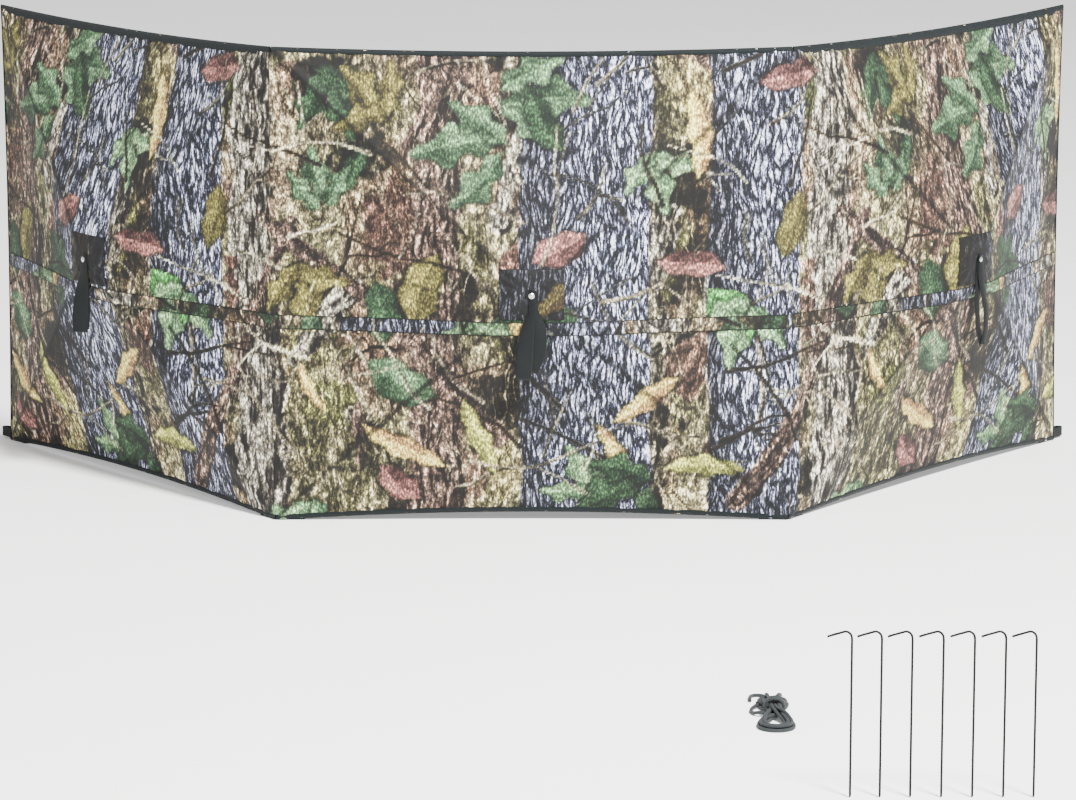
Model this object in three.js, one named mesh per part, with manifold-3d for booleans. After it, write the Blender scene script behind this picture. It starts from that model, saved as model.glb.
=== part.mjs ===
// Three-panel pop-up field blind with its rope hank and ground stakes.
// Millimetres, X right, Y towards the hunter's side, Z up, floor at Z = 0.
import * as THREE from "three";
import { mergeVertices } from "three/addons/utils/BufferGeometryUtils.js";
import Module from "manifold-3d";

// Panels
const PANEL_W = 1060;
const PANEL_H = 980;
const PANEL_LIFT = 1; // fabric corners clear the floor by this much
const BULGE = 120; // hub centre stands this far out of the corner plane
const WING_ANGLE = 52.5; // degrees that each wing is folded back
const FABRIC_T = 1.2;
const CLAMP_R = 38; // flat of the fabric under the hub plate
const FOLD_GAP = 0.9;
const SAG_TOP = 10;
const SAG_BOTTOM = 18;
const SAG_END = 10;
const SIDE_STEPS = 8;
const RINGS = [0, 0.08, 0.25, 0.45, 0.65, 0.83, 1];

// Hub
const HUB_R = 36;
const HUB_FRONT = 0.9; // behind the middle of the fabric
const HUB_T = 20;
const HUB_SLOT_W = 7;
const HUB_SLOT_IN = 17;
const PIVOT_R = 27;
const PIVOT_BACK = 11;
const PIN_R = 2.2;
const BOLT_R = 4;
const PLATE_R = 13;
const PLATE_T = 3;
const TAB_T = 2.8;
const HEAD_R = 6;
const HEAD_T = 3;
const NUT_R = 8;
const NUT_T = 6.5;

// Poles
const POLE_R = 4.5;
const TIP_R = 668; // distance of a pole's tip from the hub's axis
const TIP_BACK = 5; // and behind the corner plane
const FERRULE_R = 6.5;
const FERRULE_START = 13;
const FERRULE_END = 58;
const FERRULE_BORE = 4.8;
const BORE_START = 20;
const TONGUE_T = 6.4;
const TONGUE_H = 11;

// Corner pockets
const POCKET_W = 15;
const POCKET_BORE_W = 10.2;
const FOOT = { xIn: 470, xOut: 508, yFront: 2.5, yBack: 12.4, top: 26 };
const LOOP = { from: 506, to: 575, yMid: 10, half: 8.6, wall: 2.2, z0: 4, z1: 24, hole: 530 };

// Loose kit in front of the panels
const KIT_Y = -2080; // stakes, from the corner plane of the centre panel
const STAKE_X = [516, 564, 613, 663, 713, 763, 812];
const STAKE_H = 277;
const STAKE_R = 2;
const STAKE_BEND = 12;
const STAKE_HOOK = 40;
const STAKE_DIP = 9;
const HANK_X = 420;
const HANK_Y = -1560;
const HANK_T = 26;

const CENTRE_Y = 599.74; // brings the middle of the whole layout to Y = 0

const wasm = await Module();
wasm.setup();

const DEG = Math.PI / 180;
const HALF_W = PANEL_W / 2;
const HALF_H = PANEL_H / 2;
const MID_Z = HALF_H + PANEL_LIFT;
const DIAGONAL = Math.hypot(HALF_W, HALF_H);
const POLE_RUN = TIP_R - PIVOT_R;
const POLE_RISE = BULGE - PIVOT_BACK + TIP_BACK;
const POLE_LENGTH = Math.hypot(POLE_RUN, POLE_RISE);
const POLE_TILT = Math.atan2(POLE_RISE, POLE_RUN);
const CORNERS = {
  top_left: [-1, 1],
  top_right: [1, 1],
  bottom_left: [-1, -1],
  bottom_right: [1, -1],
};

function material(name, color, roughness, metalness) {
  return new THREE.MeshStandardMaterial({ name, color, roughness, metalness });
}

function named(name, geometry, mat) {
  const mesh = new THREE.Mesh(geometry, mat);
  mesh.name = name;
  return mesh;
}

function toManifold(geometry) {
  const bare = geometry.clone();
  bare.deleteAttribute("normal");
  bare.deleteAttribute("uv");
  const merged = mergeVertices(bare, 1e-4);
  return new wasm.Manifold(
    new wasm.Mesh({
      numProp: 3,
      vertProperties: new Float32Array(merged.attributes.position.array),
      triVerts: new Uint32Array(merged.index.array),
    }),
  );
}

function toGeometry(solid) {
  const mesh = solid.getMesh();
  const geometry = new THREE.BufferGeometry();
  geometry.setAttribute("position", new THREE.BufferAttribute(mesh.vertProperties, 3));
  geometry.setIndex(new THREE.BufferAttribute(mesh.triVerts, 1));
  geometry.computeVertexNormals();
  return geometry;
}

// A cylinder along Y from y0 to y1
function cylinderY(radius, y0, y1, sides) {
  const geometry = new THREE.CylinderGeometry(radius, radius, y1 - y0, sides);
  geometry.translate(0, (y0 + y1) / 2, 0);
  return geometry;
}

// A cylinder along X from x0 to x1
function cylinderX(radius, x0, x1, sides) {
  const geometry = new THREE.CylinderGeometry(radius, radius, x1 - x0, sides);
  geometry.rotateZ(-Math.PI / 2);
  geometry.translate((x0 + x1) / 2, 0, 0);
  return geometry;
}

function box(x0, x1, y0, y1, z0, z1) {
  const geometry = new THREE.BoxGeometry(x1 - x0, y1 - y0, z1 - z0);
  geometry.translate((x0 + x1) / 2, (y0 + y1) / 2, (z0 + z1) / 2);
  return geometry;
}

// Points round a circle, from one angle to another in degrees, both included
function circlePoints(radius, from, to, count) {
  const points = [];
  for (let i = 0; i < count; i++) {
    const a = (from + ((to - from) * i) / (count - 1)) * DEG;
    points.push(new THREE.Vector2(radius * Math.cos(a), radius * Math.sin(a)));
  }
  return points;
}

// A profile in X and Y, extruded to a width centred on Z = 0
function plateXY(points, width) {
  const shape = new THREE.Shape(points.map(([x, y]) => new THREE.Vector2(x, y)));
  const geometry = new THREE.ExtrudeGeometry(shape, { depth: width, bevelEnabled: false });
  geometry.translate(0, 0, -width / 2);
  return geometry;
}

// The frame of one corner: X runs from the hub's axis to the corner, Y towards the hunter
function cornerMatrix([sx, sz]) {
  const along = new THREE.Vector3((sx * HALF_W) / DIAGONAL, 0, (sz * HALF_H) / DIAGONAL);
  const back = new THREE.Vector3(0, 1, 0);
  const across = new THREE.Vector3().crossVectors(along, back);
  return new THREE.Matrix4().makeBasis(along, back, across).setPosition(0, 0, MID_Z);
}

// How far the cut edge is drawn in at a share t along each side
function edgePoint(side, t, open) {
  const bow = 4 * t * (1 - t);
  const run = 2 * t - 1;
  if (side === 0) {
    return [run * HALF_W, -HALF_H + SAG_BOTTOM * bow];
  }
  if (side === 1) {
    return [HALF_W - (open.right ? SAG_END * bow : 0), run * HALF_H];
  }
  if (side === 2) {
    return [-run * HALF_W, HALF_H - SAG_TOP * bow];
  }
  return [-HALF_W + (open.left ? SAG_END * bow : 0), -run * HALF_H];
}

// A skin stretched from the hub to the four corners, with a hole for the bolt
function fabricGeometry(open) {
  const count = 4 * SIDE_STEPS;
  const loops = [];
  const edge = [];
  for (let k = 0; k < count; k++) {
    const side = Math.floor(k / SIDE_STEPS);
    edge.push(edgePoint(side, (k % SIDE_STEPS) / SIDE_STEPS, open));
  }
  const hole = edge.map(([x, z]) => {
    const r = Math.hypot(x, z);
    return [(x / r) * (BOLT_R + 1.2), (z / r) * (BOLT_R + 1.2)];
  });
  loops.push({ points: hole, y: -BULGE });
  for (const s of RINGS) {
    const points = edge.map(([x, z]) => {
      const r = Math.hypot(x, z);
      const cx = (x / r) * CLAMP_R;
      const cz = (z / r) * CLAMP_R;
      const limit = HALF_W - FOLD_GAP;
      return [Math.max(-limit, Math.min(limit, cx + (x - cx) * s)), cz + (z - cz) * s];
    });
    loops.push({ points, y: -BULGE * (1 - s) });
  }
  const positions = [];
  for (const offset of [-FABRIC_T / 2, FABRIC_T / 2]) {
    for (const loop of loops) {
      for (const [x, z] of loop.points) {
        positions.push(x, loop.y + offset, z + MID_Z);
      }
    }
  }
  const layer = loops.length * count;
  const index = [];
  const quad = (a, b, c, d) => index.push(a, b, c, a, c, d);
  for (let i = 0; i + 1 < loops.length; i++) {
    for (let k = 0; k < count; k++) {
      const n = (k + 1) % count;
      const a = i * count + k;
      const b = i * count + n;
      const c = (i + 1) * count + n;
      const d = (i + 1) * count + k;
      quad(a, d, c, b);
      quad(layer + a, layer + b, layer + c, layer + d);
    }
  }
  const last = (loops.length - 1) * count;
  for (let k = 0; k < count; k++) {
    const n = (k + 1) % count;
    quad(k, n, layer + n, layer + k);
    quad(last + n, last + k, layer + last + k, layer + last + n);
  }
  const geometry = new THREE.BufferGeometry();
  geometry.setAttribute("position", new THREE.Float32BufferAttribute(positions, 3));
  geometry.setIndex(index);
  geometry.computeVertexNormals();
  return geometry;
}

// Moulded disc with a slot and a cross pin for each pole
function hubGeometry() {
  let solid = toManifold(cylinderY(HUB_R, HUB_FRONT, HUB_FRONT + HUB_T, 32));
  for (const corner of Object.values(CORNERS)) {
    const turn = cornerMatrix(corner).setPosition(0, 0, 0);
    const half = HUB_SLOT_W / 2;
    const slot = box(HUB_SLOT_IN, HUB_R + 4, HUB_FRONT - 1, HUB_FRONT + HUB_T + 1, -half, half);
    const pin = new THREE.CylinderGeometry(PIN_R, PIN_R, HUB_SLOT_W + 4, 10);
    pin.rotateX(Math.PI / 2);
    pin.translate(PIVOT_R, PIVOT_BACK, 0);
    solid = solid.subtract(toManifold(slot.applyMatrix4(turn)));
    solid = solid.add(toManifold(pin.applyMatrix4(turn)));
  }
  const bore = cylinderY(BOLT_R + 0.3, HUB_FRONT - 1, HUB_FRONT + HUB_T + 1, 20);
  return toGeometry(solid.subtract(toManifold(bore)));
}

function plateGeometry() {
  const back = -FABRIC_T / 2 - 0.3;
  const rim = 1;
  const profile = [
    [BOLT_R + 0.3, back],
    [PLATE_R, back],
    [PLATE_R, back - PLATE_T + rim],
    [PLATE_R - rim, back - PLATE_T],
    [BOLT_R + 0.3, back - PLATE_T],
    [BOLT_R + 0.3, back],
  ];
  return new THREE.LatheGeometry(
    profile.reverse().map(([r, y]) => new THREE.Vector2(r, y)),
    24,
  );
}

// Domed head outside, shank through the fabric, nut on the hunter's side
function boltGeometry() {
  const headBack = -FABRIC_T / 2 - 0.3 - PLATE_T - 0.4 - TAB_T - 0.4;
  const headFront = headBack - HEAD_T;
  const nutFront = HUB_FRONT + HUB_T + 0.4;
  const profile = [
    [0, headFront],
    [HEAD_R * 0.6, headFront + 0.5],
    [HEAD_R, headFront + 2],
    [HEAD_R, headBack],
    [BOLT_R, headBack],
    [BOLT_R, nutFront + 2],
    [0, nutFront + 2],
  ];
  const stud = new THREE.LatheGeometry(
    profile.map(([r, y]) => new THREE.Vector2(r, y)),
    20,
  );
  const nut = cylinderY(NUT_R, nutFront, nutFront + NUT_T, 6);
  const end = cylinderY(BOLT_R - 0.4, nutFront + 1, nutFront + NUT_T + 2.5, 20);
  return toGeometry(toManifold(stud).add(toManifold(nut)).add(toManifold(end)));
}

// Webbing strap that hangs from the bolt, its lower half opened into a hand loop
function tabGeometry(length, width) {
  const half = width / 2;
  const top = 9;
  const side = [
    [top - 1, 0.2],
    [half - 2, 0.48],
    [half, 0.62],
    [half - 1, 0.8],
    [7, 0.98],
    [4, 1],
  ].map(([x, share]) => new THREE.Vector2(x, -share * length));
  const other = side.map(({ x, y }) => new THREE.Vector2(-x, y)).reverse();
  const round = circlePoints(top, 180, 0, 12);
  const shape = new THREE.Shape([...round, ...side, ...other].reverse());
  const slotSide = [
    [1.5, 0.42],
    [5, 0.55],
    [5, 0.76],
    [1.5, 0.88],
  ].map(([x, share]) => new THREE.Vector2(x, -share * length));
  const slotOther = slotSide.map(({ x, y }) => new THREE.Vector2(-x, y)).reverse();
  shape.holes.push(new THREE.Path(circlePoints(BOLT_R + 0.5, 0, 345, 24)));
  shape.holes.push(new THREE.Path([...slotSide, ...slotOther]));
  const geometry = new THREE.ExtrudeGeometry(shape, {
    depth: TAB_T,
    bevelEnabled: false,
  });
  geometry.rotateX(Math.PI / 2);
  geometry.translate(0, -FABRIC_T / 2 - 0.3 - PLATE_T - 0.4, 0);
  return geometry;
}

// Metal ferrule: an eyed tongue in the hub's slot, a socket for the rod behind it
function ferruleGeometry() {
  const eye = new THREE.CylinderGeometry(TONGUE_H / 2, TONGUE_H / 2, TONGUE_T, 14);
  eye.rotateX(Math.PI / 2);
  const half = TONGUE_H / 2;
  const tongue = box(0, FERRULE_START + 3, -half, half, -TONGUE_T / 2, TONGUE_T / 2);
  const sleeve = cylinderX(FERRULE_R, FERRULE_START, FERRULE_END, 14);
  const hole = new THREE.CylinderGeometry(PIN_R + 0.4, PIN_R + 0.4, TONGUE_T + 2, 10);
  hole.rotateX(Math.PI / 2);
  const bore = cylinderX(FERRULE_BORE, BORE_START, FERRULE_END + 1, 14);
  const body = toManifold(eye).add(toManifold(tongue)).add(toManifold(sleeve));
  return toGeometry(body.subtract(toManifold(hole)).subtract(toManifold(bore)));
}

function poleGeometry() {
  const start = BORE_START + 0.5;
  const profile = [
    [0, start],
    [POLE_R, start],
    [POLE_R, POLE_LENGTH - 2],
    [POLE_R - 1.5, POLE_LENGTH],
    [0, POLE_LENGTH],
  ];
  const geometry = new THREE.LatheGeometry(
    profile.map(([r, y]) => new THREE.Vector2(r, y)),
    12,
  );
  geometry.rotateZ(-Math.PI / 2);
  return geometry;
}

// Sewn cup for a pole's tip. Bottom ones stand on a foot, and at the free ends carry a stake loop.
function pocketGeometry(corner, endSide) {
  const turn = cornerMatrix(corner);
  const outer = [
    [634, -9.5],
    [686, -3.1],
    [690, 0],
    [690, 9.4],
    [687, 12.4],
    [634, 12.4],
  ];
  const inner = [
    [630, -6.9],
    [681, 0],
    [681, 10.2],
    [630, 10.2],
  ];
  let solid = toManifold(plateXY(outer, POCKET_W).applyMatrix4(turn));
  const [sx, sz] = corner;
  if (sz < 0) {
    const near = sx > 0 ? FOOT.xIn : -FOOT.xOut;
    const far = sx > 0 ? FOOT.xOut : -FOOT.xIn;
    solid = solid.add(toManifold(box(near, far, FOOT.yFront, FOOT.yBack, 0, FOOT.top)));
    if (endSide === sx) {
      solid = solid.add(loopSolid(sx));
    }
  }
  return toGeometry(solid.subtract(toManifold(plateXY(inner, POCKET_BORE_W).applyMatrix4(turn))));
}

// Flat webbing loop that a stake is pushed through
function loopSolid(sx) {
  const outline = (from, to, half) => {
    const points = [];
    for (let i = 0; i <= 8; i++) {
      const a = -Math.PI / 2 + (Math.PI * i) / 8;
      points.push([to - half + half * Math.cos(a), LOOP.yMid + half * Math.sin(a)]);
    }
    for (let i = 0; i <= 8; i++) {
      const a = Math.PI / 2 + (Math.PI * i) / 8;
      points.push([from + half + half * Math.cos(a), LOOP.yMid + half * Math.sin(a)]);
    }
    return points;
  };
  const height = LOOP.z1 - LOOP.z0;
  const middle = (LOOP.z0 + LOOP.z1) / 2;
  const innerHalf = LOOP.half - LOOP.wall;
  const ring = plateXY(outline(LOOP.from - 12, LOOP.to, LOOP.half), height);
  const hole = plateXY(outline(LOOP.hole, LOOP.to - LOOP.wall, innerHalf), height + 4);
  ring.translate(0, 0, middle);
  hole.translate(0, 0, middle);
  if (sx < 0) {
    ring.rotateY(Math.PI);
    ring.translate(0, 0, 2 * middle);
    hole.rotateY(Math.PI);
    hole.translate(0, 0, 2 * middle);
  }
  return toManifold(ring).subtract(toManifold(hole));
}

// A path whose stations are used as they are given
class StationPath extends THREE.Curve {
  constructor(points) {
    super();
    this.points = points;
  }

  getPoint(t, target = new THREE.Vector3()) {
    const last = this.points.length - 1;
    const at = Math.min(Math.max(t, 0), 1) * last;
    const i = Math.min(Math.floor(at), last - 1);
    return target.copy(this.points[i]).lerp(this.points[i + 1], at - i);
  }

  getPointAt(t, target) {
    return this.getPoint(t, target);
  }

  getTangentAt(t, target = new THREE.Vector3()) {
    const step = 0.5 / (this.points.length - 1);
    const before = this.getPoint(Math.max(t - step, 0));
    const after = this.getPoint(Math.min(t + step, 1));
    return target.copy(after).sub(before).normalize();
  }
}

// Straight wire shaft, bent over at the top into a hook that dips at its end
function stakeGeometry() {
  const points = [new THREE.Vector3(0, 0, 0)];
  const top = STAKE_H - STAKE_R;
  points.push(new THREE.Vector3(0, 0, (top - STAKE_BEND) / 2));
  for (let i = 0; i <= 7; i++) {
    const a = ((Math.PI / 2) * i) / 7;
    const x = -STAKE_BEND + STAKE_BEND * Math.cos(a);
    const z = top - STAKE_BEND + STAKE_BEND * Math.sin(a);
    points.push(new THREE.Vector3(x, 0, z));
  }
  points.push(new THREE.Vector3(-STAKE_HOOK * 0.62, 0, top));
  points.push(new THREE.Vector3(-STAKE_HOOK * 0.8, 0, top - STAKE_DIP * 0.3));
  points.push(new THREE.Vector3(-STAKE_HOOK, 0, top - STAKE_DIP));
  const section = new THREE.Shape(circlePoints(STAKE_R, 0, 315, 8));
  return new THREE.ExtrudeGeometry(section, {
    steps: points.length - 1,
    bevelEnabled: false,
    extrudePath: new StationPath(points),
  });
}

// Outer shape of the tied rope hank, lying on the ground
function hankGeometry() {
  const half = [
    [0, 0, 6],
    [-8, 8, 20],
    [-24, 20, 30],
    [-33, 42, 34],
    [-30, 78, 30],
    [-24, 104, 25],
    [-24, 130, 25],
    [-40, 152, 32],
    [-45, 186, 36],
    [-34, 214, 34],
    [-12, 238, 22],
    [0, 254, 10],
  ];
  const left = half.map(([x, z]) => new THREE.Vector2(x, z));
  const right = half.slice(1, -1).map(([, z, x]) => new THREE.Vector2(x, z));
  const shape = new THREE.Shape([...left, ...right.reverse()]);
  const inset = 5;
  const geometry = new THREE.ExtrudeGeometry(shape, {
    depth: HANK_T - 2 * inset,
    bevelEnabled: true,
    bevelThickness: inset,
    bevelSize: inset,
    bevelOffset: -inset,
    bevelSegments: 3,
  });
  geometry.computeBoundingBox();
  geometry.translate(0, -127, -geometry.boundingBox.min.z);
  return geometry;
}

function panel(prefix, endSide, tabLength, tabWidth) {
  const group = new THREE.Group();
  const open = { left: endSide < 0, right: endSide > 0 };
  group.add(
    named(`${prefix}_fabric`, fabricGeometry(open), material("print_fabric", 0x6f6a52, 0.95, 0)),
  );
  const hub = new THREE.Group();
  hub.position.set(0, -BULGE, MID_Z);
  const plastic = material("hub_plastic", 0x1b1c1c, 0.5, 0);
  hub.add(named(`${prefix}_hub`, hubGeometry(), plastic));
  const plate = material("plate_plastic", 0x232a28, 0.6, 0);
  hub.add(named(`${prefix}_hub_plate`, plateGeometry(), plate));
  hub.add(named(`${prefix}_hub_bolt`, boltGeometry(), material("bolt_steel", 0x9a9c9c, 0.35, 1)));
  const strap = material("tab_webbing", 0x0c1413, 0.9, 0);
  hub.add(named(`${prefix}_pull_tab`, tabGeometry(tabLength, tabWidth), strap));
  group.add(hub);
  for (const [corner, signs] of Object.entries(CORNERS)) {
    const arm = new THREE.Group();
    arm.applyMatrix4(cornerMatrix(signs));
    const pivot = new THREE.Group();
    pivot.position.set(PIVOT_R, PIVOT_BACK - BULGE, 0);
    pivot.rotation.z = POLE_TILT;
    const rod = material("fibreglass", 0x2a2d2e, 0.45, 0);
    const ferrule = material("ferrule_aluminium", 0xa9acae, 0.35, 1);
    pivot.add(named(`${prefix}_pole_${corner}`, poleGeometry(), rod));
    pivot.add(named(`${prefix}_ferrule_${corner}`, ferruleGeometry(), ferrule));
    arm.add(pivot);
    group.add(arm);
    const cup = material("pocket_webbing", 0x111615, 0.9, 0);
    group.add(named(`${prefix}_pocket_${corner}`, pocketGeometry(signs, endSide), cup));
  }
  return group;
}

function wing(prefix, side, tabLength, tabWidth) {
  const fold = new THREE.Group();
  fold.position.set(side * HALF_W, 0, 0);
  fold.rotation.z = side * WING_ANGLE * DEG;
  const body = panel(prefix, side, tabLength, tabWidth);
  body.position.set(side * HALF_W, 0, 0);
  fold.add(body);
  return fold;
}

const blind = new THREE.Group();
blind.name = "layout_field_blind";
const layout = new THREE.Group();
layout.position.set(0, CENTRE_Y, 0);
layout.add(panel("centre", 0, 178, 46));
layout.add(wing("left", -1, 156, 36));
layout.add(wing("right", 1, 182, 40));
STAKE_X.forEach((x, i) => {
  const stake = named(`stake_${i + 1}`, stakeGeometry(), material("stake_wire", 0x141414, 0.4, 1));
  stake.position.set(x, KIT_Y, 0);
  layout.add(stake);
});
const hank = named("rope_hank", hankGeometry(), material("rope", 0x26343a, 0.9, 0));
hank.position.set(HANK_X, HANK_Y, 0);
layout.add(hank);
blind.add(layout);

export default blind;
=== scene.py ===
import math
import random

import bpy
import numpy as np
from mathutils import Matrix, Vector


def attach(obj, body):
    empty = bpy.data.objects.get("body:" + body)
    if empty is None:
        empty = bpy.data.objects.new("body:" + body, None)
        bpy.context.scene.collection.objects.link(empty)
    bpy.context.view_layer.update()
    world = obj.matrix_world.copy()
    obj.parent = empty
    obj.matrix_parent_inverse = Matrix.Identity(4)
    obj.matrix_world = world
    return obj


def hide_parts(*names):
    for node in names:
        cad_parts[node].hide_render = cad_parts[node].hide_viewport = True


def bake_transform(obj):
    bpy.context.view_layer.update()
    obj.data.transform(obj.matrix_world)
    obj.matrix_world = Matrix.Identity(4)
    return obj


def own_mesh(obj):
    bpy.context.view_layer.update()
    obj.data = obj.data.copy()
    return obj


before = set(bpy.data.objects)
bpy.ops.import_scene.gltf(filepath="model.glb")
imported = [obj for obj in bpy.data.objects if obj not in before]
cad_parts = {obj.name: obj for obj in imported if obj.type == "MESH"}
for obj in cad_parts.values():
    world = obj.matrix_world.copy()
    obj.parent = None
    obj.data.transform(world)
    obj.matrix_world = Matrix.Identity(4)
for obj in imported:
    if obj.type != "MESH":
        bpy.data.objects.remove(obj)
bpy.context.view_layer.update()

# ---- sizes, in metres

PANEL_W, PANEL_H = 1.060, 0.980
HALF_W, HALF_H = PANEL_W / 2, PANEL_H / 2
MID_Z = HALF_H + 0.001
BULGE = 0.120  # how far the hubs stand out
HALF_CLOTH = 0.0006
WING = math.radians(52.5)
CENTRE_Y = 0.59974
CLAMP_R = 0.038
SAG_TOP, SAG_BOTTOM, SAG_END = 0.010, 0.018, 0.010
REPEAT = 1.225  # width of one repeat of the print
PRINT_SEED = 11
PANELS = ("left", "centre", "right")
SIDE = {"left": -1, "centre": 0, "right": 1}
STEP = 0.0042

# ---- camera

cam_data = bpy.data.cameras.new("camera")
cam = bpy.data.objects.new("camera", cam_data)
bpy.context.scene.collection.objects.link(cam)
bpy.context.scene.camera = cam
cam_data.lens = 149.5
cam_data.sensor_width = 36
cam_data.clip_end = 60
elevation, pitch, reach = math.radians(9.417), math.radians(10.882), 9.159
cam.location = (0.013, CENTRE_Y - reach * math.cos(elevation), 0.491 + reach * math.sin(elevation))
cam.rotation_euler = (math.pi / 2 - pitch, 0, 0)

# ---- helpers


def place(panel, pts):
    """Panel coordinates (across from its middle, inward, up) to the frame."""
    pts = np.asarray(pts, float)
    s, a = SIDE[panel], SIDE[panel] * WING
    x = pts[..., 0] + s * HALF_W
    y = pts[..., 1]
    c, n = math.cos(a), math.sin(a)
    return np.stack([s * HALF_W + c * x - n * y, CENTRE_Y + n * x + c * y, pts[..., 2]], -1)


def as_tuple(point):
    return tuple(map(float, point))


def flat_grid(nu, nv, a0=-1, a1=1, b0=-1, b1=1):
    a, b = np.meshgrid(np.linspace(a0, a1, nu), np.linspace(b0, b1, nv), indexing="ij")
    return a.ravel(), b.ravel()


def inward(panel):
    a = SIDE[panel] * WING
    return (-math.sin(a), math.cos(a), 0.0)


def anchor(panel):
    return as_tuple(place(panel, (0, 0, MID_Z)))


def new_mesh(name, verts, faces, smooth=True):
    me = bpy.data.meshes.new(name)
    me.from_pydata([tuple(map(float, v)) for v in verts], [], [tuple(map(int, f)) for f in faces])
    me.validate()
    if smooth:
        me.polygons.foreach_set("use_smooth", [True] * len(me.polygons))
    me.update()
    ob = bpy.data.objects.new(name, me)
    bpy.context.scene.collection.objects.link(ob)
    return ob


def grid_faces(nu, nv, close_v=False, flip=False):
    i, j = np.meshgrid(np.arange(nu - 1), np.arange(nv if close_v else nv - 1), indexing="ij")
    i, j = i.ravel(), j.ravel()
    j2 = (j + 1) % nv
    quad = np.stack([i * nv + j, (i + 1) * nv + j, (i + 1) * nv + j2, i * nv + j2], -1)
    return quad[:, ::-1] if flip else quad


def point_attr(ob, name, values, kind="FLOAT_VECTOR"):
    at = ob.data.attributes.new(name, kind, "POINT")
    field = "color" if kind == "FLOAT_COLOR" else "vector" if kind == "FLOAT_VECTOR" else "value"
    at.data.foreach_set(field, np.ascontiguousarray(values, np.float32).ravel())


def print_attributes(ob, u, v, rgb, bark):
    """What the print materials read: the place on the print, its ink (on the panels with painted shade along
    the rods) and its kind.
    """
    point_attr(ob, "flat", np.stack([u, v, 0 * u], -1))
    point_attr(ob, "ink", np.concatenate([rgb, np.ones((len(u), 1))], -1), "FLOAT_COLOR")
    point_attr(ob, "bark", bark, "FLOAT")


def hash2(ix, iy, seed):
    h = (ix * 374761393 + iy * 668265263 + seed * 982451653) & 0xFFFFFFFF
    h = ((h ^ (h >> 13)) * 1274126177) & 0xFFFFFFFF
    return ((h ^ (h >> 16)) & 0xFFFF) / 65535.0


def noise(x, y, seed=0, wrap=None):
    """Smooth value noise, 0 to 1. wrap makes it repeat every so many cells along x."""
    x0, y0 = np.floor(x).astype(np.int64), np.floor(y).astype(np.int64)
    fx, fy = x - x0, y - y0
    fx, fy = fx * fx * (3 - 2 * fx), fy * fy * (3 - 2 * fy)
    xa, xb = (x0 % wrap, (x0 + 1) % wrap) if wrap else (x0, x0 + 1)
    a, b = hash2(xa, y0, seed), hash2(xb, y0, seed)
    c, d = hash2(xa, y0 + 1, seed), hash2(xb, y0 + 1, seed)
    return (a * (1 - fx) + b * fx) * (1 - fy) + (c * (1 - fx) + d * fx) * fy


def fractal(x, y, seed=0, octaves=3):
    total, size = 0, 0
    for k in range(octaves):
        total = total + noise(x * 2**k, y * 2**k, seed + 17 * k) / 2**k
        size += 1 / 2**k
    return total / size


def smooth(lo, hi, x):
    t = np.clip((x - lo) / (hi - lo), 0, 1)
    return t * t * (3 - 2 * t)


def srgb(r, g, b):
    c = np.array([r, g, b], float) / 255
    return np.where(c <= 0.04045, c / 12.92, ((c + 0.055) / 1.055) ** 2.4)


# ---- print


def two_tone(dark, light, tone):
    return srgb(*dark) * (1 - tone[:, None]) + srgb(*light) * tone[:, None]


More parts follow.
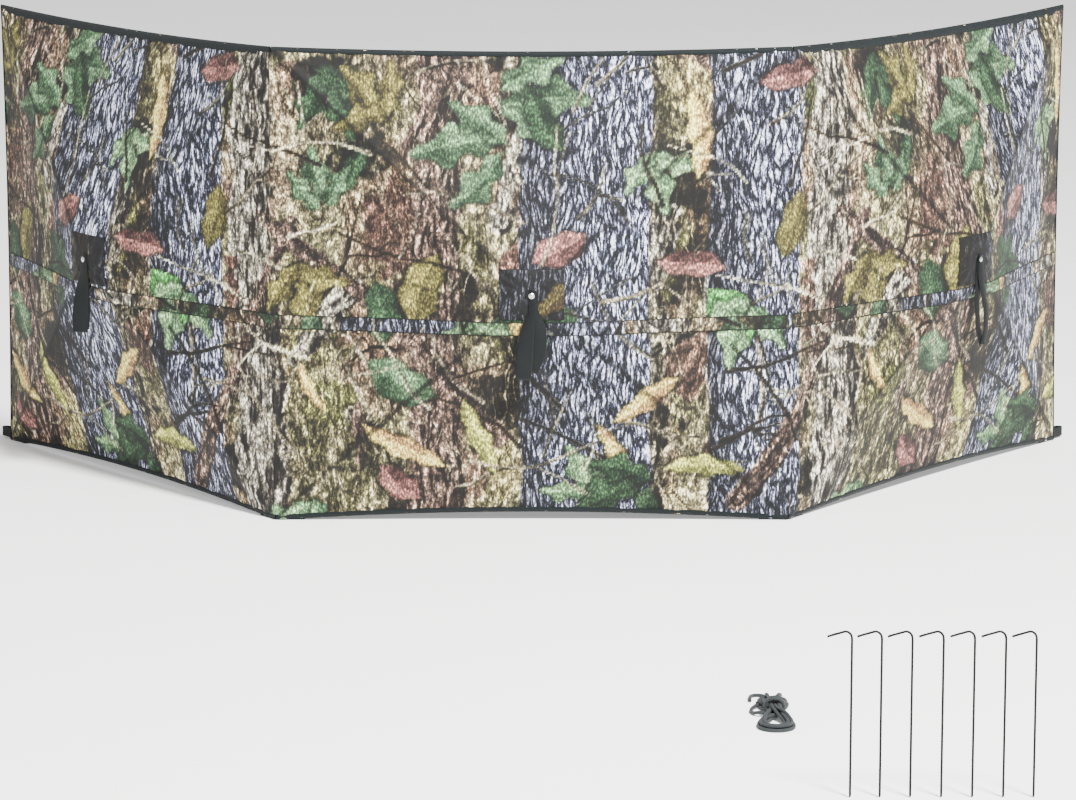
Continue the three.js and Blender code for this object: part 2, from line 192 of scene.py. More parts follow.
class Print:
    """Paints a generic woodland print on points (u along the blind, v up), both in metres."""

    def __init__(self, u, v):
        self.u = (u + REPEAT / 2) % REPEAT - REPEAT / 2
        self.v = v
        self.rgb = np.zeros((len(u), 3))
        self.bark = np.zeros(len(u))

    def around(self, u0):
        return (self.u - u0 + REPEAT / 2) % REPEAT - REPEAT / 2

    def mix(self, share, colour, bark=0.0, where=slice(None)):
        share = np.clip(share, 0, 1)
        self.rgb[where] = self.rgb[where] * (1 - share[:, None]) + colour * share[:, None]
        self.bark[where] = self.bark[where] * (1 - share) + bark * share

    def close_to(self, u0, v0, reach_u, reach_v):
        """Indices of the points near a place, and how far they are from it."""
        du, dv = self.around(u0), self.v - v0
        near = np.flatnonzero((np.abs(du) < reach_u) & (np.abs(dv) < reach_v))
        return near, du[near], dv[near]

    def lay(self, near, edge, soft, colour):
        """A leaf laid on the print, with a shadow round it; edge is the distance outside its outline."""
        inside = smooth(soft, -soft, edge)
        shade = smooth(0.012, 0.0, edge) * (1 - inside) * 0.45
        self.rgb[near] *= 1 - shade[:, None]
        self.mix(inside, colour, -1.0, near)

    def ground(self):
        u, v = self.u, self.v
        cell = 1 / REPEAT
        a = noise(u * cell * 9, v * 5, 3, wrap=9) * 0.6 + noise(u * cell * 24, v * 13, 5, wrap=24) * 0.4
        b = noise(u * cell * 14 + 3, v * 7, 11, wrap=14)
        c = noise(u * cell * 60, v * 16, 21, wrap=60)
        d = noise(u * cell * 150, v * 60, 31, wrap=150)
        self.rgb[:] = srgb(168, 160, 120)
        self.mix(smooth(0.45, 0.75, a), srgb(214, 200, 162))
        self.mix(smooth(0.55, 0.2, a), srgb(134, 128, 82))
        self.mix(smooth(0.5, 0.75, b) * 0.6, srgb(150, 120, 100))
        self.mix(smooth(0.42, 0.15, b) * 0.8, srgb(104, 100, 66))
        self.mix(smooth(0.62, 0.85, c) * 0.55, srgb(92, 80, 58))
        self.mix(smooth(0.42, 0.2, c) * 0.4, srgb(222, 208, 172))
        self.mix(smooth(0.6, 0.9, d) * 0.45, srgb(74, 64, 48))
        self.mix(smooth(0.35, 0.1, d) * 0.35, srgb(226, 214, 186))

    def stroke(self, pts, widths, colours, grain=0.5, seed=0, bark=0.0, ragged=0.0, soft=0.0022):
        """A limb, log or twig along a line of points, with grain along it."""
        pts = np.array(pts, float)
        widths = np.broadcast_to(np.array(widths, float), len(pts))
        reach = widths.max() + 0.02
        mid = pts[:, 0].mean()
        du = self.around(mid) + mid
        near = np.flatnonzero(
            (du > pts[:, 0].min() - reach)
            & (du < pts[:, 0].max() + reach)
            & (self.v > pts[:, 1].min() - reach)
            & (self.v < pts[:, 1].max() + reach)
        )
        if not len(near):
            return
        p = np.stack([du[near], self.v[near]], -1)
        best = np.full(len(near), 9.0)
        along, across, width = np.zeros(len(near)), np.zeros(len(near)), np.full(len(near), 1e-3)
        run = 0.0
        for k in range(len(pts) - 1):
            d = pts[k + 1] - pts[k]
            length = math.hypot(*d)
            d = d / length
            t = np.clip((p - pts[k]) @ d, 0, length)
            off = p - pts[k] - t[:, None] * d
            dist = np.hypot(off[:, 0], off[:, 1])
            side = np.sign(off[:, 0] * d[1] - off[:, 1] * d[0])
            w = widths[k] + (widths[k + 1] - widths[k]) * t / length
            take = dist - w / 2 < best
            best = np.where(take, dist - w / 2, best)
            along = np.where(take, run + t, along)
            across = np.where(take, dist * side, across)
            width = np.where(take, w, width)
            run += length
        wave = ragged * (noise(along * 45, along * 0 + 2, seed) - 0.5)
        inside = smooth(soft, -soft, best + wave)
        rel = across / (width / 2)
        g = noise(across * 260, along * 42, seed + 1) * 0.55
        g = g + noise(across * 130, along * 20, seed + 2) * 0.45
        tone = np.clip(0.5 + (g - 0.5) * 2.2 * grain * 1.6 - 0.35 * rel, 0, 1)
        self.mix(inside, two_tone(colours[0], colours[1], tone), bark, near)

    def leaf(self, u0, v0, length, width, turn, colours, lobes, depth, seed=0, veins=5):
        """A leaf from its stalk at (u0, v0); turn is its direction in degrees from straight up."""
        near, du, dv = self.close_to(u0, v0, length * 1.25, length * 1.25)
        a = math.radians(turn)
        t = (du * math.sin(a) + dv * math.cos(a)) / length
        s = (du * math.cos(a) - dv * math.sin(a)) / length
        s = s + 0.10 * np.sin(t * 2.6 + seed)
        tt = np.clip(t, 0, 1)
        half = 0.5 * width / length * np.sin(math.pi * tt) ** 0.8
        half = half * (1 - depth * (0.5 + 0.5 * np.cos(2 * math.pi * (tt * lobes + 0.35 * np.abs(s)))))
        half = half + 0.012 * (noise(t * 40, np.sign(s) * 3 + 5, seed) - 0.5)
        edge = (np.abs(s) - half) * length
        edge = np.maximum(edge, np.maximum(-t, t - 1) * length)
        fold = smooth(-0.02, 0.02, s)
        patch = fractal(s * 9 + seed, t * 6, seed + 4)
        tone = np.clip(0.25 + 0.4 * fold + 1.1 * (patch - 0.5) + 0.15 * t, 0, 1)
        rib = np.abs(((t - np.abs(s) * 1.1) * veins) % 1 - 0.5)
        line = smooth(0.07, 0.0, rib) * 0.5 + smooth(0.018, 0.004, np.abs(s))
        tone = np.clip(tone + 0.35 * np.clip(line, 0, 1), 0, 1)
        rim = smooth(-0.006, -0.0015, edge) * 0.35
        self.lay(near, edge, 0.002, two_tone(colours[1], colours[0], tone) * (1 - rim[:, None]))

    def maple(self, u0, v0, size, turn, colours, points=5, seed=0, depth=0.5):
        """A leaf with points all round, from its middle."""
        near, du, dv = self.close_to(u0, v0, size * 1.3, size * 1.3)
        r = np.hypot(du, dv) / size
        phi = np.arctan2(du, dv) - math.radians(turn)
        lobe = np.abs(np.cos(phi * points / 2)) ** 1.6
        teeth = 0.05 * np.abs(np.cos(phi * points * 2.5 + 0.4))
        limit = (1 - depth) + depth * lobe + teeth
        limit = limit * (1 - 0.25 * smooth(0.75, 1.0, np.abs(((phi / math.pi) % 2) - 1)))
        edge = (r - limit) * size
        tone = np.clip(0.55 + 1.3 * (fractal(du * 60, dv * 60, seed) - 0.5), 0, 1)
        rib = smooth(0.12, 0.0, np.abs(np.sin(phi * points / 2)) * r) * smooth(1, 0.2, r)
        tone = np.clip(tone - 0.6 * rib, 0, 1)
        self.lay(near, edge, 0.0022, two_tone(colours[1], colours[0], tone))

    def blob(self, u0, v0, ru, rv, colour, strength, seed, rough):
        """A patch of litter with a ragged outline."""
        near, du, dv = self.close_to(u0, v0, ru * 1.6, rv * 1.6)
        d = np.hypot(du / ru, dv / rv)
        d = d + rough * (fractal(du * 45, dv * 45, seed) - 0.5) * 2
        self.mix(smooth(1.05, 0.75, d) * strength, srgb(*colour), where=near)

    def trunk(self, lo, hi, seed):
        """A big grey trunk from top to bottom: its bark is drawn by the material."""
        mid, half = (lo + hi) / 2, (hi - lo) / 2
        wave = 0.010 * (noise(self.v * 9, self.v * 0 + seed, seed) - 0.5)
        wave = wave + 0.005 * (noise(self.v * 60, self.v * 0 + seed, seed + 1) - 0.5)
        d = np.abs(self.around(mid) - wave) - half
        inside = smooth(0.002, -0.002, d)
        rel = np.clip(self.around(mid) / half, -1, 1)
        tone = 0.82 - 0.30 * smooth(0.1, 1.0, -rel) + 0.10 * rel
        tone = tone + 0.5 * (fractal(self.u * 14, self.v * 7, seed + 3) - 0.5)
        colour = srgb(158, 158, 164)[None, :] * np.clip(tone, 0.25, 1.15)[:, None]
        self.mix(inside, colour, 1.0)


# Colours of the print in sRGB: leaves light then dark, twigs and limbs dark then light
LEAF_GREENS = (
    ((126, 204, 92), (50, 118, 54)), ((176, 200, 176), (96, 130, 108)), ((110, 142, 118), (48, 78, 62)),
    ((176, 172, 70), (100, 96, 36)), ((150, 178, 158), (74, 104, 84)),
)
LEAF_YELLOWS = (
    ((232, 222, 96), (170, 140, 56)), ((206, 220, 88), (112, 130, 40)), ((222, 224, 118), (134, 138, 54)),
)
LEAF_BROWNS = (
    ((226, 188, 184), (136, 98, 100)), ((190, 150, 84), (112, 78, 50)), ((196, 154, 156), (84, 56, 60)),
)
TWIGS = (((38, 34, 30), (86, 76, 66)), ((70, 66, 62), (190, 184, 176)), ((120, 116, 112), (232, 228, 220)))
LIMBS = (((80, 66, 58), (180, 154, 138)), ((66, 60, 50), (178, 168, 144)), ((84, 76, 70), (212, 202, 188)))
LITTER = (
    (176, 148, 122), (46, 44, 32), (142, 140, 80), (212, 200, 162), (96, 104, 46),
    (132, 102, 88), (62, 50, 40), (196, 182, 128), (58, 60, 44), (160, 120, 104),
)
GREY_TRUNKS = ((0.11, 0.265), (0.46, 0.195))  # middle along the repeat, width
BROWN_TRUNKS = 3  # spread evenly over the repeat, with a little scatter
LONG_LIMBS = 3


def scatter(rng, columns, rows):
    """One place in each cell of a grid over the repeat, in a random order."""
    cells = [(i, j) for i in range(columns) for j in range(rows)]
    rng.shuffle(cells)
    for i, j in cells:
        yield ((i + rng.random()) / columns - 0.5) * REPEAT, (j + rng.random()) / rows * PANEL_H


def bent_line(rng, u, v, length, heading, bends, wander):
    """Points of a crooked line that starts at (u, v); heading is in degrees from straight up."""
    pts = [(u, v)]
    for _ in range(bends):
        heading += rng.uniform(-wander, wander)
        step = length / bends
        u += step * math.sin(math.radians(heading))
        v += step * math.cos(math.radians(heading))
        pts.append((u, v))
    return pts


def twig(p, rng, u, v, seed):
    """A twig with one side shoot."""
    width = rng.uniform(0.004, 0.011)
    colours = rng.choice(TWIGS)
    heading = rng.choice((-1, 1)) * rng.uniform(10, 95)
    length = rng.uniform(0.10, 0.32)
    pts = bent_line(rng, u, v, length, heading, 4, 24)
    p.stroke(pts, np.linspace(width, 0.45 * width, len(pts)), colours, 0.6, seed, bark=-1, soft=0.0013)
    fork = bent_line(rng, *pts[2], 0.45 * length, heading + rng.choice((-1, 1)) * 38, 2, 16)
    p.stroke(fork, 0.5 * width, colours, 0.6, seed + 1, bark=-1, soft=0.0013)


def any_leaf(p, rng, u, v, seed):
    """One leaf of a random kind: lobed, pointed all round, broad or narrow."""
    kind, turn = rng.random(), rng.uniform(0, 360)
    if kind < 0.36:
        colours, size = rng.choice(LEAF_GREENS), rng.uniform(0.11, 0.19)
        for k, share in ((0, 1.0), (-46, 0.82), (44, 0.78)):
            p.leaf(u, v, size * share, 0.52 * size * share, turn + k, colours, 2.5, 0.5, seed=seed + abs(k))
    elif kind < 0.48:
        p.maple(u, v, rng.uniform(0.06, 0.09), turn, rng.choice(LEAF_YELLOWS + LEAF_GREENS), 5, seed, 0.5)
    elif kind < 0.76:
        size = rng.uniform(0.09, 0.18)
        colours = rng.choice(LEAF_GREENS + LEAF_BROWNS)
        p.leaf(u, v, size, rng.uniform(0.45, 0.7) * size, turn, colours, 2, 0.25, seed=seed)
    else:
        size = rng.uniform(0.10, 0.22)
        p.leaf(u, v, size, rng.uniform(0.2, 0.32) * size, turn, rng.choice(LEAF_YELLOWS), 3, 0.3, seed=seed)


def paint(u, v):
    """A generic woodland print: litter, trunks, limbs, leaves and twigs, scattered by loops."""
    p = Print(u, v)
    rng = random.Random(PRINT_SEED)
    p.ground()
    for k, (x, y) in enumerate(scatter(rng, 7, 6)):
        ru, rv = rng.uniform(0.035, 0.10), rng.uniform(0.04, 0.12)
        p.blob(x, y, ru, rv, rng.choice(LITTER), 0.85, k, 0.5)
    for k in range(BROWN_TRUNKS):
        mid = REPEAT * (k + 0.5) / BROWN_TRUNKS + rng.uniform(-0.05, 0.05)
        width = rng.uniform(0.05, 0.12)
        lean = rng.uniform(-0.05, 0.05)
        heights = (-0.05, 0.25, 0.5, 0.75, 1.05)
        line = [(mid + lean * t + 0.008 * math.sin(5 * t + k), PANEL_H * t) for t in heights]
        widths = [width * w for w in (1.25, 1.1, 1.0, 0.95, 1.0)]
        p.stroke(line, widths, LIMBS[(k + 1) % 3], 1.0, 40 + k, ragged=0.02)
    for k, (x, y) in enumerate(scatter(rng, 4, 3)):
        line = bent_line(rng, x, y, rng.uniform(0.12, 0.26), rng.uniform(-60, 60), 3, 14)
        p.stroke(line, rng.uniform(0.018, 0.05), rng.choice(LIMBS), 0.9, 50 + k, ragged=0.015)
    for k, (mid, width) in enumerate(GREY_TRUNKS):
        p.trunk(mid - width / 2, mid + width / 2, 60 + 10 * k)
    for k, (x, y) in enumerate(scatter(rng, LONG_LIMBS, 1)):
        line = bent_line(rng, x, y, 0.66, rng.choice((-1, 1)) * rng.uniform(24, 36), 6, 9)
        p.stroke(line, np.linspace(0.052, 0.03, 7), LIMBS[0], 0.8, 80 + k, ragged=0.008)
    for k, (x, y) in enumerate(scatter(rng, 8, 6)):
        twig(p, rng, x, y, 200 + 2 * k)
    for k, (x, y) in enumerate(scatter(rng, 6, 5)):
        any_leaf(p, rng, x, y, 100 + 60 * k)
    for k, (x, y) in enumerate(scatter(rng, 6, 4)):
        twig(p, rng, x, y, 400 + 2 * k)
    return p.rgb, p.bark


# ---- node helpers


def new_material(name):
    mat = bpy.data.materials.new(name)
    mat.use_nodes = True
    nt = mat.node_tree
    return mat, nt, nt.nodes["Principled BSDF"]


def put(node, name, value):
    node.inputs[name].default_value = value


def object_coords(nt):
    return nt.nodes.new("ShaderNodeTexCoord").outputs["Object"]


def attr(nt, name):
    n = nt.nodes.new("ShaderNodeAttribute")
    n.attribute_name = name
    return n


def scaled(nt, vector, scale, offset=(0, 0, 0)):
    m = nt.nodes.new("ShaderNodeMapping")
    put(m, "Scale", scale)
    put(m, "Location", offset)
    nt.links.new(vector, m.inputs["Vector"])
    return m.outputs["Vector"]


def noise_tex(nt, vector, scale=1.0, detail=3.0, rough=0.5, distortion=0.0):
    n = nt.nodes.new("ShaderNodeTexNoise")
    put(n, "Scale", scale)
    put(n, "Detail", detail)
    put(n, "Roughness", rough)
    put(n, "Distortion", distortion)
    nt.links.new(vector, n.inputs["Vector"])
    return n.outputs["Fac"]


def ramp(nt, fac, stops):
    r = nt.nodes.new("ShaderNodeValToRGB")
    els = r.color_ramp.elements
    while len(els) < len(stops):
        els.new(0.5)
    for e, (at, c) in zip(els, stops):
        e.position = at
        e.color = (*c, 1)
    nt.links.new(fac, r.inputs["Fac"])
    return r.outputs["Color"]


def math_node(nt, op, a, b=0.0):
    m = nt.nodes.new("ShaderNodeMath")
    m.operation = op
    for i, v in enumerate((a, b)):
        if isinstance(v, (int, float)):
            m.inputs[i].default_value = v
        else:
            nt.links.new(v, m.inputs[i])
    return m.outputs[0]


def times(nt, a, b):
    return math_node(nt, "MULTIPLY", a, b)


def plus(nt, a, b):
    return math_node(nt, "ADD", a, b)


def mix_rgb(nt, fac, a, b, blend="MIX"):
    m = nt.nodes.new("ShaderNodeMix")
    m.data_type = "RGBA"
    m.blend_type = blend
    for sock, v in ((m.inputs[0], fac), (m.inputs[6], a), (m.inputs[7], b)):
        if isinstance(v, (int, float)):
            sock.default_value = v
        elif isinstance(v, tuple):
            sock.default_value = (*v, 1)
        else:
            nt.links.new(v, sock)
    return m.outputs[2]


def tint(nt, a, b, fac=1.0):
    return mix_rgb(nt, fac, a, b, "MULTIPLY")


def gamma(nt, colour, power):
    g = nt.nodes.new("ShaderNodeGamma")
    put(g, "Gamma", power)
    nt.links.new(colour, g.inputs["Color"])
    return g.outputs["Color"]


def cell_edges(nt, vector):
    """Distance to the nearest edge of a Voronoi cell, in cells."""
    cells = nt.nodes.new("ShaderNodeTexVoronoi")
    cells.feature = "DISTANCE_TO_EDGE"
    put(cells, "Scale", 1.0)
    nt.links.new(vector, cells.inputs["Vector"])
    return cells.outputs["Distance"]


def swayed(nt, vector, by, reach):
    """The vector pushed aside by a noise, as far as reach."""
    shift = nt.nodes.new("ShaderNodeVectorMath")
    shift.operation = "MULTIPLY"
    nt.links.new(by, shift.inputs[0])
    shift.inputs[1].default_value = reach
    moved = nt.nodes.new("ShaderNodeVectorMath")
    moved.operation = "ADD"
    nt.links.new(vector, moved.inputs[0])
    nt.links.new(shift.outputs[0], moved.inputs[1])
    return moved.outputs[0]


def bump(nt, bsdf, height, strength, distance):
    b = nt.nodes.new("ShaderNodeBump")
    put(b, "Strength", strength)
    put(b, "Distance", distance)
    nt.links.new(height, b.inputs["Height"])
    nt.links.new(b.outputs["Normal"], bsdf.inputs["Normal"])


def weave(nt, vector, per_m):
    """Over-and-under threads: two crossed waves."""
    sep = nt.nodes.new("ShaderNodeSeparateXYZ")
    nt.links.new(vector, sep.inputs[0])
    k = 2 * math.pi * per_m
    a = math_node(nt, "SINE", times(nt, sep.outputs[0], k))
    b = math_node(nt, "SINE", times(nt, sep.outputs[1], k))
    return plus(nt, times(nt, times(nt, a, b), 0.25), 0.5)


def lin(r, g, b):
    return as_tuple(srgb(r, g, b))


def print_material(name, shade=1.0):
    """The painted print, with the fine detail of bark, straw and weave drawn over its ink."""
    mat, nt, bsdf = new_material(name)
    flat = attr(nt, "flat").outputs["Vector"]
    inked = gamma(nt, attr(nt, "ink").outputs["Color"], 1.2)
    kind = attr(nt, "bark").outputs["Fac"]  # 1 on grey trunks, 0 on the ground, -1 on leaves and twigs
    bark = math_node(nt, "MAXIMUM", kind, 0.0)
    leafy = math_node(nt, "MAXIMUM", times(nt, kind, -1.0), 0.0)
    clear = math_node(nt, "SUBTRACT", math_node(nt, "SUBTRACT", 1.0, bark), leafy)
    # bark of the grey trunks: long plates with dark furrows between them
    bend = noise_tex(nt, scaled(nt, flat, (16, 9, 1)), 1.0, 2.0)
    moved = swayed(nt, flat, bend, (0.055, 0.02, 0))
    plates = cell_edges(nt, scaled(nt, moved, (122, 19, 1)))
    fine = noise_tex(nt, scaled(nt, flat, (430, 75, 1), (3.1, 7.7, 0)), 1.0, 4.0, 0.7, 0.8)
    bark_rgb = ramp(nt, plus(nt, plates, times(nt, fine, 0.85)), [
        (0.38, lin(26, 30, 36)), (0.49, lin(66, 70, 80)), (0.57, lin(124, 127, 138)),
        (0.64, lin(200, 202, 212)), (0.72, lin(255, 255, 255)),
    ])
    lifted = tint(nt, tint(nt, bark_rgb, inked), (4.6, 4.6, 4.6))
    colour = mix_rgb(nt, bark, inked, lifted)
    # leaves and ground are lighter than their ink
    colour = mix_rgb(nt, leafy, colour, tint(nt, colour, (1.6, 1.52, 1.12)))
    colour = mix_rgb(nt, clear, colour, tint(nt, colour, (1.3, 1.38, 1.36)))
    # dark twigs in some parts of the ground and light straw in the others
    patchy = noise_tex(nt, scaled(nt, flat, (11, 9, 1), (9.0, 4.0, 0)), 1.0, 2.0)
    hair = cell_edges(nt, scaled(nt, moved, (34, 9, 1), (5.3, 2.1, 0)))
    dark_line = ramp(nt, hair, [(0.0, (1, 1, 1)), (0.045, (0, 0, 0))])
    dark_line = times(nt, dark_line, ramp(nt, patchy, [(0.46, (0, 0, 0)), (0.54, (1, 1, 1))]))
    colour = mix_rgb(nt, times(nt, times(nt, dark_line, clear), 0.8), colour, lin(46, 38, 30))
    straw = cell_edges(nt, scaled(nt, moved, (52, 11, 1), (1.3, 8.1, 0)))
    light_line = ramp(nt, straw, [(0.0, (1, 1, 1)), (0.06, (0, 0, 0))])
    light_line = times(nt, light_line, ramp(nt, patchy, [(0.40, (1, 1, 1)), (0.50, (0, 0, 0))]))
    colour = mix_rgb(nt, times(nt, times(nt, light_line, clear), 0.6), colour, lin(226, 214, 178))
    # litter: dark and light blots
    blot = noise_tex(nt, scaled(nt, moved, (90, 34, 1), (2.0, 6.0, 0)), 1.0, 5.0, 0.72)
    blot_rgb = ramp(nt, blot, [
        (0.38, (0.12, 0.11, 0.09)), (0.47, (0.62, 0.60, 0.56)),
        (0.54, (1.3, 1.28, 1.2)), (0.64, (3.8, 3.75, 3.55)),
    ])
    colour = mix_rgb(nt, times(nt, clear, 0.75), colour, tint(nt, colour, blot_rgb))
    colour = tint(nt, colour, (0.42 * shade, 0.435 * shade, 0.47 * shade))
    # small print speckle everywhere
    speck = noise_tex(nt, scaled(nt, flat, (260, 120, 1), (1.3, 9.1, 0)), 1.0, 2.0, 0.6)
    speck_rgb = ramp(nt, speck, [
        (0.3, (0.30, 0.29, 0.28)), (0.5, (0.92, 0.92, 0.92)), (0.70, (2.9, 2.85, 2.75)),
    ])
    colour = tint(nt, colour, speck_rgb, 0.75)
    fade = noise_tex(nt, scaled(nt, flat, (5, 5, 1)), 1.0, 2.0)
    colour = tint(nt, colour, ramp(nt, fade, [(0.3, (0.9,) * 3), (0.7, (1.06,) * 3)]))
    # deepen the darks and clear the lights, as printed cloth does
    muted = nt.nodes.new("ShaderNodeHueSaturation")
    put(muted, "Saturation", 0.8)
    put(muted, "Value", 2.55)
    nt.links.new(gamma(nt, colour, 1.9), muted.inputs["Color"])
    colour = mix_rgb(nt, 1.0, muted.outputs["Color"], (0.97, 0.97, 0.97), "DARKEN")
    nt.links.new(colour, bsdf.inputs["Base Color"])
    nt.links.new(plus(nt, times(nt, speck, 0.2), 0.68), bsdf.inputs["Roughness"])
    put(bsdf, "Specular IOR Level", 0.3)
    put(bsdf, "Sheen Weight", 0.02)
    bump(nt, bsdf, plus(nt, weave(nt, flat, 900), times(nt, speck, 0.4)), 0.25, 0.0006)
    return mat


def webbing_material(name, base, light, per_m=700, on_cad=False):
    """Ribbed webbing. CAD pieces have no flat attribute, so on_cad uses object coordinates."""
    mat, nt, bsdf = new_material(name)
    flat = object_coords(nt) if on_cad else attr(nt, "flat").outputs["Vector"]
    ribs = weave(nt, flat, per_m)
    wear = noise_tex(nt, scaled(nt, flat, (60, 60, 60)), 1.0, 3.0)
    tone = plus(nt, times(nt, ribs, 0.6), times(nt, wear, 0.5))
    nt.links.new(ramp(nt, tone, [(0.3, base), (0.85, light)]), bsdf.inputs["Base Color"])
    nt.links.new(plus(nt, times(nt, wear, 0.25), 0.6), bsdf.inputs["Roughness"])
    put(bsdf, "Sheen Weight", 0.03)
    put(bsdf, "Specular IOR Level", 0.2)
    bump(nt, bsdf, ribs, 0.5, 0.0006)
    return mat


def plain_material(name, base, light, rough, metal, scale, relief=0.0003):
    """Moulded, drawn or painted finish with mottling, scuffs and fine relief."""
    mat, nt, bsdf = new_material(name)
    obj = object_coords(nt)
    mottle = noise_tex(nt, scaled(nt, obj, scale), 1.0, 4.0, 0.6)
    scuff = noise_tex(nt, scaled(nt, obj, (900, 900, 900)), 1.0, 2.0, 0.7)
    nt.links.new(ramp(nt, mottle, [(0.3, base), (0.72, light)]), bsdf.inputs["Base Color"])
    r = plus(nt, times(nt, scuff, 0.3), rough - 0.15)
    nt.links.new(r, bsdf.inputs["Roughness"])
    put(bsdf, "Metallic", metal)
    put(bsdf, "Specular IOR Level", 0.5 if metal else 0.2)
    bump(nt, bsdf, scuff, 0.3, relief)
    return mat


PRINT = print_material("print_cloth")
BAND_PRINT = print_material("print_band", 0.75)
# the hub patch is printed at a quarter of the brightness: a darker sewn-on patch with painted shade round the
# hub
SHADED_PATCH_PRINT = print_material("print_patch_and_shade", 0.25)
TAPE = webbing_material("edge_tape", lin(1, 4, 5), lin(12, 21, 23))
STRAP = webbing_material("strap_webbing", lin(1, 2, 3), lin(6, 12, 13), 520)


def lining_material():
    mat, nt, bsdf = new_material("inside_face")
    flat = attr(nt, "flat").outputs["Vector"]
    broad = noise_tex(nt, scaled(nt, flat, (14, 8, 1)), 1.0, 4.0, 0.6, 0.6)
    streak = noise_tex(nt, scaled(nt, flat, (70, 12, 1)), 1.0, 3.0, 0.55, 0.8)
    tone = plus(nt, times(nt, broad, 0.55), times(nt, streak, 0.45))
    rgb = ramp(nt, tone, [(0.36, lin(22, 22, 19)), (0.5, lin(40, 39, 33)), (0.66, lin(62, 60, 52))])
    nt.links.new(rgb, bsdf.inputs["Base Color"])
    nt.links.new(plus(nt, times(nt, broad, 0.2), 0.65), bsdf.inputs["Roughness"])
    bump(nt, bsdf, weave(nt, flat, 900), 0.3, 0.0005)
    return mat


LINING = lining_material()

# ---- cloth surface


def cut_point(panel, a, b):
    """Panel coordinates across and up for a and b from -1 to 1 over the cut cloth."""
    x = a * HALF_W
    bow_b = 1 - b * b
    if panel == "left":
        x = x + SAG_END * bow_b * np.clip(-a, 0, 1)
    if panel == "right":
        x = x - SAG_END * bow_b * np.clip(a, 0, 1)
    bow_a = 1 - a * a
    z = b * HALF_H - SAG_TOP * bow_a * np.clip(b, 0, 1) + SAG_BOTTOM * bow_a * np.clip(-b, 0, 1)
    return x, z


def ripple(panel, a, b):
    """Small slack in the cloth: waves along the edges, folds from corners and hub."""
    seed = 300 + 10 * SIDE[panel]
    m = np.maximum(np.abs(a), np.abs(b))
    r = np.hypot(a, b)
    phi = np.arctan2(b, a)
    calm = smooth(1.0, 0.93, m)
    wide = (fractal(a * 2.6 + seed, b * 2.6, seed, 2) - 0.5) * 0.005 * calm * smooth(0.08, 0.3, m)
    hub = 0.0012 * np.sin(phi * 14 + 2 * np.sin(phi * 3 + seed))
    hub = hub * smooth(0.55, 0.1, r) * smooth(0.06, 0.12, r)
    away = np.hypot(np.abs(a) - 1, np.abs(b) - 1)
    ca = np.arctan2(1 - np.abs(b), 1 - np.abs(a) + 1e-6)
    corner = 0.0022 * np.sin(ca * 16 + seed) * smooth(0.45, 0.05, away) * smooth(0.02, 0.1, away) * calm
    edge_top = 0.0010 * np.sin(a * 58 + 4 * np.sin(a * 7)) * smooth(0.86, 1.0, np.abs(b))
    edge_side = 0.0010 * np.sin(b * 52 + 4 * np.sin(b * 6)) * smooth(0.88, 1.0, np.abs(a))
    edge_side = edge_side * (1 - smooth(0.99, 1.0, np.abs(a)))
    belly = 0.004 * np.sin(math.pi * np.clip(m, 0, 1)) * smooth(0.0, 0.5, np.abs(np.abs(a) - np.abs(b)))
    return wide + hub + corner + edge_top + edge_side + belly


def near_rod(a, b, width):
    """1 over the rods, which lie on the diagonals, falling to 0 over about the width given."""
    return np.exp(-(((np.abs(a) - np.abs(b)) / width) ** 2))


def skin(panel, a, b, off=0.0, slack=True):
    """Points of the cloth, off metres in front of its middle (towards the viewer)."""
    a, b = np.asarray(a, float), np.asarray(b, float)
    x, z = cut_point(panel, a, b)
    m = np.maximum(np.maximum(np.abs(a), np.abs(b)), 1e-9)
    welt = 0.0016 * near_rod(a, b, 0.011) * smooth(0.07, 0.14, m) * smooth(0.99, 0.95, m)
    rho = np.hypot(x, z)
    rim = rho / m
    s = np.clip((rho - CLAMP_R) / (rim - CLAMP_R), 0, 1)
    y = -BULGE * (1 - s)
    if slack:
        y = y + ripple(panel, a, b) - welt
    return np.stack([x, y - off, z + MID_Z], -1)


def flat_coords(panel, pts):
    return pts[..., 0] + SIDE[panel] * PANEL_W, pts[..., 2]


def soften(pts, nu, nv):
    """Rounds the ridges over the poles by averaging depth, edges kept."""
    y = pts[:, 1].reshape(nu, nv).copy()
    for _ in range(3):
        mid = (y[:-2, 1:-1] + y[2:, 1:-1] + y[1:-1, :-2] + y[1:-1, 2:]) / 4
        y[1:-1, 1:-1] = 0.5 * y[1:-1, 1:-1] + 0.5 * mid
    pts[:, 1] = y.ravel()
    return pts


def squash_with_hub(ob, panel):
    inward(panel)
    anchor(panel)
    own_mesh(ob)


def cloth_face(panel, name, a, b, size, off, mat):
    """One face of a panel's cloth, off metres in front of its middle."""
    pts = soften(skin(panel, a, b, off), *size)
    limit = HALF_W - 0.0009  # neighbouring panels don't touch at the folds
    pts[:, 0] = np.clip(pts[:, 0], -limit, limit)
    ob = new_mesh(f"{panel}_{name}", place(panel, pts), grid_faces(*size, flip=off < 0))
    ob.data.materials.append(mat)
    return ob, *flat_coords(panel, pts)


def hold_cloth(ob, panel):
    squash_with_hub(ob, panel)


